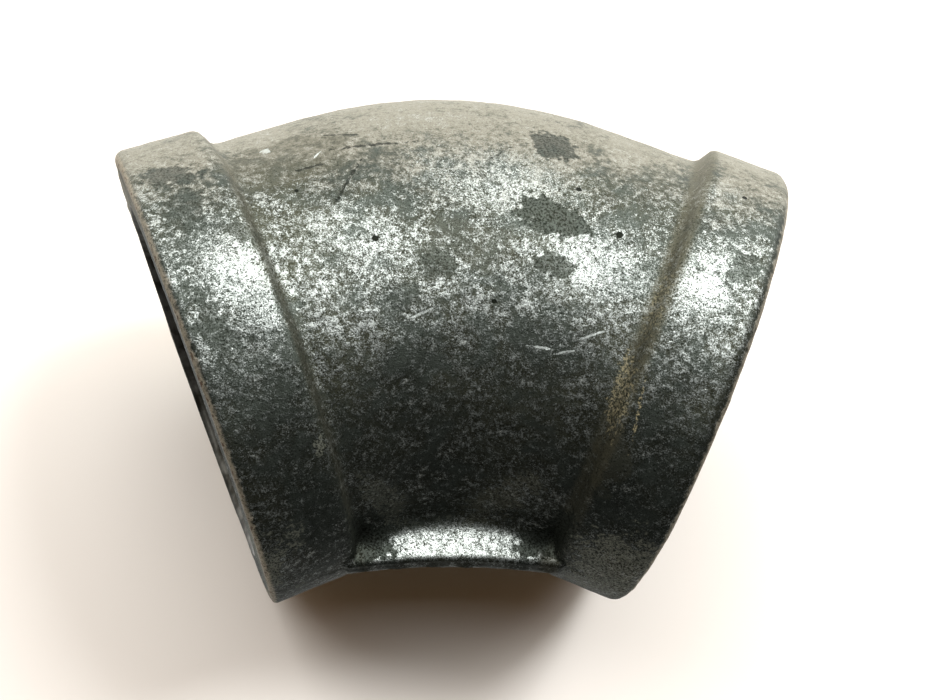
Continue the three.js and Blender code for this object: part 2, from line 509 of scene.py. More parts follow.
    @staticmethod
    def ring(centre: np.ndarray, away: np.ndarray, upper: np.ndarray) -> np.ndarray:
        """Turns the upper half of an outline into a whole ring of points.

        Args:
            centre: Where the outline's plane meets the centreline.
            away: The level direction in the plane, away from the throat.
            upper: The outline's upper half, from the back to the throat.

        Returns:
            The ring, counted from the back and upwards.
        """
        lower = upper[-2:0:-1] * np.array([1.0, -1.0])
        whole = np.concatenate([upper, lower])
        return centre + whole[:, :1] * away + whole[:, 1:] * UP

    def between_bands(self) -> np.ndarray:
        """Makes the rings of the shell, on a fan of planes that swings from one band to the other.

        Returns:
            The rings, from the left band to the right one.
        """
        rings = []
        for angle in np.linspace(-self.run.half_angle, self.run.half_angle, self.fan_planes):
            away = np.array([math.sin(angle), math.cos(angle), 0.0])
            pivot = np.array([0.0, self.fan_y, 0.0])
            reach = crossing(
                lambda along: self.run.locate(pivot + along[:, None] * away)[1],
                np.array([-self.fan_y - self.band_radius]),
                np.array([-self.fan_y]),
            )
            centre = pivot + float(reach[0]) * away
            rings.append(self.ring(centre, away, self.outline(centre, away)))
        return np.array(rings)

    def end_rings(self, end: End) -> np.ndarray:
        """Makes the rings of one band, from its inner side round the corner and in over the end face.

        Args:
            end: Which end.

        Returns:
            The rings, without the first, which is the shell's.
        """
        flat_rows, corner_rows, face_rows = self.band_rows
        throat_round, back_round = self.end_rounds[end]
        about = np.cos(np.arange(self.around) * 2.0 * math.pi / self.around)
        rounding = throat_round + (back_round - throat_round) * (1.0 + about) / 2.0
        along_flat = np.linspace(0.0, 1.0, flat_rows + 1)[1:, None]
        flat = self.band_width + (rounding - self.band_width) * along_flat
        turn = np.linspace(0.0, math.pi / 2.0, corner_rows + 1)[1:, None]
        across_face = np.linspace(0.0, 1.0, face_rows + 1)[1:, None]
        outer = self.band_radius - rounding
        face = outer + (self.thread.mouth_radius - outer) * across_face
        depths = np.concatenate([flat, rounding * (1.0 - np.sin(turn)), np.zeros_like(face)])
        corner = self.band_radius - rounding * (1.0 - np.cos(turn))
        radii = np.concatenate([np.full_like(flat, self.band_radius), corner, face])
        return self.turned(end, depths, radii, self.around)

    def turned(self, end: End, depths: np.ndarray, radii: np.ndarray, columns: int) -> np.ndarray:
        """Places points by their depth from an end face and their distance from its axis.

        Args:
            end: Which end.
            depths: Depths, as rows and columns.
            radii: Distances from the axis, in the same shape.
            columns: How many points go once round.

        Returns:
            The points, counted from the back of the bend and upwards.
        """
        out, away = end.directions(self.run)
        depths, radii = np.broadcast_arrays(depths, radii, np.empty((1, columns)))[:2]
        turn = np.arange(depths.shape[1]) * 2.0 * math.pi / columns
        middle = (self.run.centre_to_end - depths)[..., None] * out
        return middle + radii[..., None] * spokes(turn, away)

    # ---- the inside

    def threaded(self, end: End) -> np.ndarray:
        """Makes one threaded socket, on rows that follow the screw and are held at its two ends.

        Args:
            end: Which end.

        Returns:
            The rows, from the mouth inwards, each with its first place again at its end.
        """
        thread, columns = self.thread, self.thread_columns
        turns = math.ceil(self.thread_depth / thread.pitch) + 2
        steps = (np.arange(turns)[:, None] + thread.steps()).ravel()
        share = np.arange(columns + 1) / columns
        hand = -end.value
        start = 0.0 if hand > 0.0 else 1.0
        screw = (steps[:, None] - 1.0 + hand * share + start) * thread.pitch
        depths = np.clip(screw, 0.0, self.thread_depth)
        offset = hand * share + start
        form = thread.radius(depths, depths / thread.pitch - offset)
        chamfer = thread.mouth_radius - depths
        relief = self.recess_radius - self.runout * (self.thread_depth - depths)
        radii = np.maximum(np.maximum(form, chamfer), relief)
        out, away = end.directions(self.run)
        middle = (self.run.centre_to_end - depths)[..., None] * out
        return middle + radii[..., None] * spokes(share * 2.0 * math.pi, away)

    def waterway(self) -> np.ndarray:
        """Makes the cast waterway from one thread round the bend to the other.

        Returns:
            Its rings, from the left thread to the right one.
        """
        reach = self.run.half_run - self.thread_depth
        turn = np.arange(self.thread_columns) * 2.0 * math.pi / self.thread_columns
        rings = []
        for distance in np.linspace(-reach, reach, self.bend_rows):
            on_arc = float(np.clip(distance, -self.run.half_arc, self.run.half_arc))
            angle = on_arc / self.run.bend_radius
            away = np.array([math.sin(angle), math.cos(angle), 0.0])
            along = np.array([math.cos(angle), -math.sin(angle), 0.0])
            centre = np.array([0.0, self.run.arc_centre_y, 0.0]) + self.run.bend_radius * away
            centre += (distance - angle * self.run.bend_radius) * along
            rings.append(centre + self.recess_radius * spokes(turn, away))
        return np.array(rings)

    # ---- the mesh

    def build(self) -> bpy.types.Object:
        """Builds the casting as one closed mesh with cast and tapped faces told apart.

        Returns:
            The object, with slot 0 on the cast skin and slot 1 on the threads.
        """
        points: list[np.ndarray] = []
        faces: list[tuple[int, ...]] = []
        tapped: list[int] = []
        count = 0

        def add(grid: Grid, cut: bool = False) -> int:
            """Adds a grid's points and faces.

            Args:
                grid: The grid.
                cut: Whether its faces are tapped and not cast.

            Returns:
                The number of its first vertex.
            """
            nonlocal count
            first = count
            found = grid.faces(first)
            points.append(grid.rows.reshape(-1, 3))
            faces.extend(found)
            tapped.extend([int(cut)] * len(found))
            count += len(points[-1])
            return first

        shell = self.between_bands()
        add(Grid(shell))
        for end in End:
            rings = self.end_rings(end)
            band = shell[-1:] if end is End.RIGHT else shell[:1]
            first = add(Grid(np.concatenate([band, rings])))
            rim = first + len(rings) * self.around
            mouth = add(Grid(self.threaded(end), closed=False), cut=True)
            self.join_rim(faces, tapped, rim, mouth)
        add(Grid(self.waterway()))
        mesh = bpy.data.meshes.new(NODE + "_skin")
        mesh.from_pydata((np.concatenate(points) + np.array(self.run.corner)).tolist(), [], faces)
        mesh.polygons.foreach_set("material_index", tapped)
        self.close(mesh)
        return bpy.data.objects.new(NODE + "_skin", mesh)

    def join_rim(self, faces: list[tuple[int, ...]], tapped: list[int], rim: int, mouth: int) -> None:
        """Joins a mouth's rim to its thread, whose first row has fewer points.

        Args:
            faces: The faces so far, which the new ones are added to.
            tapped: Each face's slot so far.
            rim: The number of the first vertex on the rim.
            mouth: The number of the first vertex on the thread's first row.
        """
        per_column = self.around // self.thread_columns
        for column in range(self.thread_columns):
            start = rim + column * per_column
            stop = rim + (column + 1) * per_column % self.around
            ring = [start + k for k in range(per_column)] + [stop]
            faces.append((mouth + column, *ring, mouth + column + 1))
            tapped.append(0)

    @staticmethod
    def close(mesh: bpy.types.Mesh) -> None:
        """Merges what lies on the same place, turns every face outwards and counts open edges.

        Args:
            mesh: The mesh to close.
        """
        work = bmesh.new()
        work.from_mesh(mesh)
        bmesh.ops.remove_doubles(work, verts=work.verts, dist=MERGE_DISTANCE)
        bmesh.ops.recalc_face_normals(work, faces=work.faces)
        open_edges = sum(not edge.is_manifold for edge in work.edges)
        if work.calc_volume(signed=True) < 0.0:
            bmesh.ops.reverse_faces(work, faces=work.faces)
        for face in work.faces:
            face.smooth = True
        work.to_mesh(mesh)
        work.free()
        LOG.info("casting mesh: %d faces, %d open edges", len(mesh.polygons), open_edges)


# ---- shader maths --------------------------------------------------------------------------------


class Signal:
    """A socket of a shader graph, with Python's operators standing for Math nodes."""

    def __init__(self, graph: "Graph", socket: bpy.types.NodeSocket | None) -> None:
        """Wraps a socket.

        Args:
            graph: The graph that the socket is in.
            socket: An output socket, or None after a node that has none.
        """
        self.graph = graph
        self.socket = socket

    def maths(self, operation: str, left: Any, right: Any) -> "Signal":
        """Adds a Math node."""
        return self.graph.node("ShaderNodeMath", {"operation": operation}, {0: left, 1: right})

    def __add__(self, other: Any) -> "Signal":
        """Adds."""
        return self.maths("ADD", self, other)

    __radd__ = __add__

    def __sub__(self, other: Any) -> "Signal":
        """Subtracts."""
        return self.maths("SUBTRACT", self, other)

    def __rsub__(self, other: Any) -> "Signal":
        """Subtracts from a plain value."""
        return self.maths("SUBTRACT", other, self)

    def __mul__(self, other: Any) -> "Signal":
        """Multiplies."""
        return self.maths("MULTIPLY", self, other)

    __rmul__ = __mul__

    @staticmethod
    def total(signals: Iterable["Signal"]) -> "Signal":
        """Adds up signals.

        Args:
            signals: One or more signals.

        Returns:
            Their sum.
        """
        first, *others = signals
        for other in others:
            first = first + other
        return first

    def between(self, low: float, high: float, to_low: float = 0.0, to_high: float = 1.0) -> "Signal":
        """Eases from one value to another while the signal goes from low to high.

        Args:
            low: Where the change starts.
            high: Where it ends, which may be below low.
            to_low: The result up to low.
            to_high: The result from high on.

        Returns:
            The eased signal.
        """
        return self.graph.node(
            "ShaderNodeMapRange",
            {"interpolation_type": "SMOOTHSTEP", "clamp": True},
            {0: self, 1: low, 2: high, 3: to_low, 4: to_high},
        )


class Graph:
    """The node tree of a material or a world."""

    def __init__(self, tree: bpy.types.NodeTree) -> None:
        """Empties the tree.

        Args:
            tree: The node tree to build in.
        """
        self.tree = tree
        tree.nodes.clear()

    @classmethod
    def of_material(cls, name: str) -> tuple[bpy.types.Material, "Graph"]:
        """Starts a material.

        Args:
            name: The material's name.

        Returns:
            The material and its empty graph.
        """
        made = bpy.data.materials.new(name)
        made.use_nodes = True
        return made, cls(made.node_tree)

    def surface(self, inputs: Mapping[str, Any]) -> None:
        """Ends a material with its shader.

        Args:
            inputs: The shader's values or signals by socket.
        """
        shader = self.node("ShaderNodeBsdfPrincipled", None, inputs)
        self.node("ShaderNodeOutputMaterial", None, {"Surface": shader})

    def node(
        self,
        kind: str,
        settings: Mapping[str, Any] | None = None,
        inputs: Mapping[int | str, Any] | None = None,
        output: int | str = 0,
    ) -> Signal:
        """Adds a node.

        Args:
            kind: The node's type.
            settings: Its properties, set before its sockets.
            inputs: Values or signals by socket.
            output: Which output to give back.

        Returns:
            The chosen output, or a signal of no socket from a node without outputs.
        """
        made = self.tree.nodes.new(kind)
        for name, value in (settings or {}).items():
            setattr(made, name, value)
        for name, value in (inputs or {}).items():
            if isinstance(value, Signal):
                self.tree.links.new(value.socket, made.inputs[name])
            else:
                made.inputs[name].default_value = value
        return Signal(self, made.outputs[output] if made.outputs else None)

    def mix(self, share: Signal | float, low: Any, high: Any) -> Signal:
        """Mixes two colours.

        Args:
            share: How much of the second colour.
            low: The first colour, as a tuple or a signal.
            high: The second colour.

        Returns:
            The mixed colour.
        """
        first, second = ((*c, 1.0) if isinstance(c, tuple) else c for c in (low, high))
        return self.node(
            "ShaderNodeMix",
            {"data_type": "RGBA", "blend_type": "MIX", "clamp_factor": True},
            {0: share, 6: first, 7: second},
            output=2,
        )

    def place_mm(self, corner: Vector) -> Signal:
        """Gives places on the object in millimetres.

        Args:
            corner: The place to measure from.

        Returns:
            Coordinates from that place.
        """
        vector_maths = "ShaderNodeVectorMath"
        where = self.node("ShaderNodeTexCoord", output="Object")
        shifted = self.node(vector_maths, {"operation": "SUBTRACT"}, {0: where, 1: tuple(corner)})
        return self.node(vector_maths, {"operation": "SCALE"}, {0: shifted, "Scale": 1.0 / MM})

    def bump(self, height: Signal, strength: float, depth: float) -> Signal:
        """Gives a surface relief without moving it.

        Args:
            height: Heights.
            strength: How strong the relief is.
            depth: How deep a height of 1 is.

        Returns:
            The normal.
        """
        inputs = {"Strength": strength, "Distance": depth, "Height": height}
        return self.node("ShaderNodeBump", None, inputs)

    def painted(self, name: str) -> Signal:
        """Reads a value that is kept at the mesh's vertices."""
        return self.node("ShaderNodeAttribute", {"attribute_name": name}, output="Fac")

    def grain(self, place: Signal, per_mm: float, detail: float, roughness: float) -> Signal:
        """Makes soft noise.

        Args:
            place: Coordinates in millimetres.
            per_mm: How many grains to the millimetre.
            detail: How many finer layers there are.
            roughness: How strong the finer layers are.

        Returns:
            Values about a half.
        """
        return self.node(
            "ShaderNodeTexNoise",
            {"noise_dimensions": "3D"},
            {"Vector": place, "Scale": per_mm, "Detail": detail, "Roughness": roughness},
        )


# ---- finishes ------------------------------------------------------------------------------------


@dataclass(frozen=True)
class Mark:
    """A patch or scratch on the upper side where the coat has another tone.

    Attributes:
        x: Its middle across the mouths, in millimetres from the corner.
        y: Its middle towards the back.
        long: Half of its length.
        wide: Half of its width.
        turn: Degrees from x to its length, anticlockwise from above.
        strength: How far it changes the coat.
        level: Its height above the corner.
        tall: Half of the height over which it shows.
    """

    x: float
    y: float
    long: float
    wide: float
    turn: float = 0.0
    strength: float = 1.0
    level: float = 23.0
    tall: float = 9.0

    def mask(
        self, graph: Graph, place: Signal, ragged: Signal, raggedness: float, soft: float
    ) -> Signal:
        """Gives the mark's mask, with an outline broken up by noise.

        Args:
            graph: The graph to build in.
            place: Coordinates from the corner in millimetres.
            ragged: Noise about a half.
            raggedness: How far the noise moves the outline.
            soft: Share of the mark's size over which it fades, either way.

        Returns:
            Values from 0 outside to the strength inside.
        """
        local = graph.node(
            "ShaderNodeMapping",
            {"vector_type": "TEXTURE"},
            {
                "Vector": place,
                "Location": (self.x, self.y, self.level),
                "Rotation": (0.0, 0.0, math.radians(self.turn)),
                "Scale": (self.long, self.wide, self.tall),
            },
        )
        far = graph.node("ShaderNodeVectorMath", {"operation": "LENGTH"}, {0: local}, output="Value")
        return (far + (ragged - 0.5) * raggedness).between(1.0 + soft, 1.0 - soft) * self.strength


@dataclass(frozen=True)
class CastZinc:
    """Hot-dip zinc over a sand-cast skin: dark, finely pitted, rubbed bright on its high grains, with
    painted highlights, a painted reflection on its back, painted bounce light and painted shade.

    Attributes:
        pitted: Colour deep between the grains.
        dull: Colour of the weathered coat.
        dull_olive: Its colour where dirt tints it.
        rubbed_grey: Colour of zinc that is rubbed a little.
        bright: Colour of rubbed zinc, also laid on as painted highlight.
        haze_and_bounce: Colour of dried-out grey patches low on the sides, and of painted bounce light from
            the board.
        bloom_and_sheen_pale: Colour of the pale powdery coat on the back, partly a painted reflection of
            the bright back.
        bloom_and_sheen_dark: Colour of that coat and its painted reflection where they are thinner.
        olive: Colour of old oily dirt.
        buff: Colour of dried dirt caught on edges.
        crust: Colour of the gritty dirt in the right groove.
        rust: Colour where the coat has gone.
        oxide_and_shade: Dark patches of the coat, two of them painted shade at the web's ends.
        grime: Olive patches.
        frost_and_highlight: Patches rubbed brighter, partly painted highlight where the light falls on
            them.
        dry_and_bounce: Grey misty patches; the one at the right band's foot is painted bounce light from
            the board.
        gritty: Places of the gritty dirt.
        scuffs: Bright scratches and spots.
        cracks: Dark scratches.
        pits: Small deep holes.
    """

    pitted: Colour = (0.012, 0.014, 0.010)
    dull: Colour = (0.080, 0.092, 0.078)
    dull_olive: Colour = (0.088, 0.090, 0.062)
    rubbed_grey: Colour = (0.25, 0.272, 0.255)
    bright: Colour = (0.58, 0.62, 0.59)
    haze_and_bounce: Colour = (0.255, 0.275, 0.225)
    bloom_and_sheen_pale: Colour = (0.30, 0.29, 0.235)
    bloom_and_sheen_dark: Colour = (0.13, 0.13, 0.098)
    olive: Colour = (0.110, 0.104, 0.071)
    buff: Colour = (0.40, 0.365, 0.28)
    crust: Colour = (0.37, 0.33, 0.20)
    rust: Colour = (0.10, 0.05, 0.025)
    oxide_and_shade: Sequence[Mark] = (
        Mark(9.6, 5.4, 3.0, 2.3, -36.0),
        Mark(8.4, -4.7, 4.2, 1.9, -24.0),
        Mark(8.4, -10.0, 2.0, 1.3, -20.0, 0.7),
        Mark(-3.1, -10.3, 1.7, 1.5, 0.0, 0.55),
        Mark(-6.5, -13.5, 1.6, 1.2, 20.0, 0.4),
        Mark(-30.0, -1.5, 2.8, 1.9, 0.0, 0.85),
        Mark(-28.0, -6.5, 3.2, 2.4, 60.0, 0.5),
        Mark(-22.5, -9.0, 1.8, 1.3, 0.0, 0.5),
        Mark(-24.5, -18.5, 3.5, 1.5, -60.0, 0.5),
        Mark(27.0, -11.5, 2.8, 1.3, 60.0, 0.5),
        Mark(23.0, -6.5, 1.2, 1.0, 30.0, 0.4),
        # Painted shade: these two darken the web's top towards the bands, where its highlight fades.
        Mark(10.2, -32.4, 2.9, 2.2, 0.0, 1.0, 2.0),
        Mark(-10.2, -32.4, 2.9, 2.2, 0.0, 1.0, 2.0),
    )
    grime: Sequence[Mark] = (
        Mark(-19.0, 2.5, 7.0, 4.0, 15.0, 0.55),
        Mark(0.0, -8.0, 6.0, 2.6, -10.0, 0.30),
        Mark(14.0, -29.5, 2.6, 4.0, 0.0, 0.6),
    )
    frost_and_highlight: Sequence[Mark] = (
        # Partly painted highlight: these patches brighten the grains where highlights fall, along with
        # rubbing.
        Mark(2.0, 0.5, 8.0, 4.2, -12.0, 1.0),
        Mark(12.5, -9.5, 4.5, 3.2, -30.0, 0.8),
        Mark(-11.5, -7.0, 4.5, 2.6, -20.0, 0.6),
        Mark(-22.8, -13.2, 3.8, 2.8, -60.0, 1.0),
        Mark(-19.5, -17.5, 2.0, 1.6, -60.0, 0.6),
        Mark(23.4, -13.0, 4.2, 2.6, 60.0, 0.9),
        Mark(26.5, -1.5, 2.2, 1.6, 30.0, 0.6),
    )
    dry_and_bounce: Sequence[Mark] = (
        # Painted bounce light: this first patch lightens the right band's foot, where light from the board
        # falls.
        Mark(16.6, -36.0, 4.5, 3.4, -20.0, 0.8, 3.0),
        Mark(3.5, -29.3, 4.6, 1.1, 12.0, 0.4, 10.0),
        Mark(-8.0, -29.3, 3.2, 1.0, -14.0, 0.4, 10.0),
        Mark(-21.0, -35.0, 4.5, 2.6, 20.0, 0.7, 3.0),
        Mark(-14.6, -27.5, 1.0, 0.5, 70.0, 0.8, 14.0),
    )
    gritty: Sequence[Mark] = (
        Mark(15.0, -22.6, 3.6, 0.9, 80.0, 0.7, 18.0),
        Mark(16.4, -24.6, 2.6, 0.16, 80.0, 1.0, 17.0),
        Mark(18.6, -14.6, 3.6, 0.7, 68.0, 0.35, 20.0),
    )
    scuffs: Sequence[Mark] = (
        Mark(7.2, -17.9, 1.2, 0.11, -10.0),
        Mark(9.6, -18.4, 1.0, 0.10, 4.0),
        Mark(12.0, -17.1, 1.3, 0.10, 14.0),
        Mark(-21.4, 4.4, 0.5, 0.5, 0.0, 0.7),
        Mark(-15.8, 3.0, 0.8, 0.10, 60.0),
        Mark(-5.0, -15.0, 1.4, 0.10, 25.0, 0.7),
        Mark(24.5, -11.0, 1.6, 0.12, 35.0, 0.7),
    )
    cracks: Sequence[Mark] = (
        Mark(-12.4, -1.0, 2.6, 0.16, 68.0),
        Mark(-9.8, 4.4, 3.2, 0.18, 8.0),
        Mark(-13.6, 6.6, 2.0, 0.14, -6.0),
        Mark(-16.5, 1.0, 1.8, 0.14, 20.0),
        Mark(3.0, 3.0, 1.5, 0.12, 40.0, 0.7),
    )
    pits: Sequence[Mark] = (
        Mark(-9.6, -7.9, 0.34, 0.30),
        Mark(11.5, -1.2, 0.32, 0.28),
        Mark(15.3, -6.8, 0.36, 0.34),
        Mark(-17.6, -2.4, 0.22, 0.2),
        Mark(2.4, -13.6, 0.24, 0.2),
        Mark(29.0, -2.0, 0.3, 0.26),
    )

    def material(self, casting: ElbowCasting) -> bpy.types.Material:
        """Builds the finish.

        Args:
            casting: The casting that wears it, for the place of its corner.

        Returns:
            The material.
        """
        made, graph = Graph.of_material("cast_zinc")
        place = graph.place_mm(casting.run.corner)
        groove, edge, wear_and_highlight, bloom_and_sheen = (graph.painted(name) for name in SandCastSkin.PAINTED)

        # Noises, from coarse to fine.
        cloud = graph.grain(place, 0.10, 3.0, 0.55)
        patch = graph.grain(place, 0.38, 4.0, 0.6)
        mottle = graph.grain(place, 1.5, 3.0, 0.6)
        speck = graph.grain(place, 4.4, 2.0, 0.65)
        grit = graph.grain(place, 8.0, 2.0, 0.6)

        # Where the grains are rubbed and lifted by painted highlight, and the hollows between them.
        blend = patch * 0.5 + mottle * 0.5
        frosted_and_highlight = self.painted_marks(graph, self.frost_and_highlight, place, blend, 3.4, 0.75)
        worn_and_highlit = wear_and_highlight + frosted_and_highlight * 0.68 + (patch - 0.5) * 1.8 + (cloud - 0.5) * 1.0
        grains = speck * 0.36 + grit * 0.30 + mottle * 0.34
        rubbed = (grains + (worn_and_highlit - 0.5) * 0.12).between(0.455, 0.665)
        hollow = (grit * 0.45 + speck * 0.55).between(0.48, 0.36)

        # The weathered coat, the pale powdery coat with a painted reflection on its back, and the oily
        # dirt.
        tinted = (cloud * 0.5 + patch * 0.5).between(0.42, 0.58)
        tint = graph.mix(tinted, self.dull, self.dull_olive)
        coat = graph.mix((patch * 0.5 + speck * 0.5).between(0.38, 0.62) * 0.75, tint, self.pitted)
        chalky_and_sheen = (bloom_and_sheen + (mottle - 0.5) * 1.2 + (patch - 0.5) * 1.4).between(0.15, 1.0)
        powder = cloud * 0.3 + patch * 0.2 + mottle * 0.25 + speck * 0.25 + bloom_and_sheen * 0.11
        chalk_and_sheen = graph.mix(powder.between(0.46, 0.62), self.bloom_and_sheen_dark, self.bloom_and_sheen_pale)
        coat = graph.mix(chalky_and_sheen * 0.9, coat, chalk_and_sheen)
        oily = (groove + (mottle - 0.5) * 1.0).between(0.25, 0.95)
        oily = oily + self.painted_marks(graph, self.grime, place, patch, 1.6)
        coat = graph.mix(oily * 0.75, coat, self.olive)

        # Bright rubbed grains and painted highlight over it, kept down in the dark patches and the web's
        # painted shade.
        dark = self.painted_marks(graph, self.oxide_and_shade, place, blend, 3.2)
        shine_and_highlight = rubbed * (1.0 - dark * 0.85) * (1.0 - oily * 0.55) * (1.0 - chalky_and_sheen * 0.45)
        polish = (grit * 0.6 + mottle * 0.4 + (worn_and_highlit - 0.5) * 0.10).between(0.46, 0.66)
        gleam = graph.mix(polish, self.rubbed_grey, self.bright)
        colour = graph.mix(shine_and_highlight, coat, gleam)
        tarnish_and_shade = graph.mix(speck.between(0.36, 0.62), self.pitted, self.dull)
        colour = graph.mix(dark * 0.8, colour, tarnish_and_shade)

        # Dried-out misty patches with painted bounce light from the board, dirt, bare edges, scratches and
        # holes.
        hazy_and_bounce = self.painted_marks(graph, self.dry_and_bounce, place, blend, 4.5) * speck.between(0.35, 0.6)
        colour = graph.mix(hazy_and_bounce * 0.8, colour, self.haze_and_bounce)
        dirty = (edge + (mottle - 0.5) * 1.2).between(0.40, 0.95)
        colour = graph.mix(dirty * 0.75, colour, self.buff)
        caked = self.painted_marks(graph, self.gritty, place, mottle, 3.0) * speck.between(0.46, 0.60)
        colour = graph.mix(caked, colour, self.crust)
        bare = (edge + (mottle - 0.5) * 1.8).between(1.05, 1.2)
        colour = graph.mix(bare * 0.8, colour, self.rust)
        scuff = self.painted_marks(graph, self.scuffs, place, mottle, 3.2)
        colour = graph.mix(scuff * 0.9, colour, self.bright)
        deep = self.painted_marks(graph, self.cracks, place, mottle, 4.5)
        holes = self.painted_marks(graph, self.pits, place, mottle, 0.6)
        sunk = hollow * (0.9 - chalky_and_sheen * 0.45) + deep * 0.7 + holes
        colour = graph.mix(sunk, colour, self.pitted)

        # The shader.
        rough = 0.60 - shine_and_highlight * 0.20 + chalky_and_sheen * 0.20
        metallic = 1.0 - chalky_and_sheen * 0.35 - dirty * 0.5 - hazy_and_bounce * 0.45 - caked * 0.5
        height = grit * 0.25 + speck * 0.45 + mottle * 0.6 - dark * 0.15 - deep * 0.5 - holes * 1.5
        bump = graph.bump(height, 0.9, 0.10 * MM)
        graph.surface({"Base Color": colour, "Roughness": rough, "Metallic": metallic, "Normal": bump})
        return made

    @staticmethod
    def painted_marks(
        graph: Graph,
        marks: Sequence[Mark],
        place: Signal,
        ragged: Signal,
        raggedness: float,
        soft: float = 0.15,
    ) -> Signal:
        """Adds up the masks of a group of marks.

        Args:
            graph: The graph to build in.
            marks: The marks.
            place: Coordinates from the corner in millimetres.
            ragged: Noise about a half.
            raggedness: How far the noise moves their outlines.
            soft: Share of a mark's size over which it fades, either way.

        Returns:
            Values from 0 outside all of them.
        """
        return Signal.total([mark.mask(graph, place, ragged, raggedness, soft) for mark in marks])


@dataclass(frozen=True)
class TappedIron:
    """Bare iron where the tap has cut, darkened by cutting oil.

    Attributes:
        metal: Colour of the cut metal.
        oil: Colour of the dried oil.
    """

    metal: Colour = (0.17, 0.165, 0.145)
    oil: Colour = (0.036, 0.032, 0.023)

    def material(self, casting: ElbowCasting) -> bpy.types.Material:
        """Builds the finish.

        Args:
            casting: The casting that wears it, for the place of its corner.

        Returns:
            The material.
        """
        made, graph = Graph.of_material("tapped_iron")
        place = graph.place_mm(casting.run.corner)
        film = graph.grain(place, 0.35, 3.0, 0.6)
        fine = graph.grain(place, 5.0, 2.0, 0.6)
        colour = graph.mix(film.between(0.35, 0.65), self.metal, self.oil)
        rough = 0.32 + fine * 0.25
        bump = graph.bump(fine, 0.5, 0.03 * MM)
        graph.surface({"Base Color": colour, "Roughness": rough, "Metallic": 0.95, "Normal": bump})
        return made


@dataclass(frozen=True)
class PaleBoard:
    """The plain pale board that the fitting lies on.

    Attributes:
        colour: Its colour.
    """

    colour: Colour = (0.89, 0.875, 0.835)

    def material(self) -> bpy.types.Material:
        """Builds the finish.

        Returns:
            The material.
        """
        made, graph = Graph.of_material("pale_board")
        graph.surface({"Base Color": (*self.colour, 1.0), "Roughness": 0.9})
        return made


# ---- casting skin --------------------------------------------------------------------------------


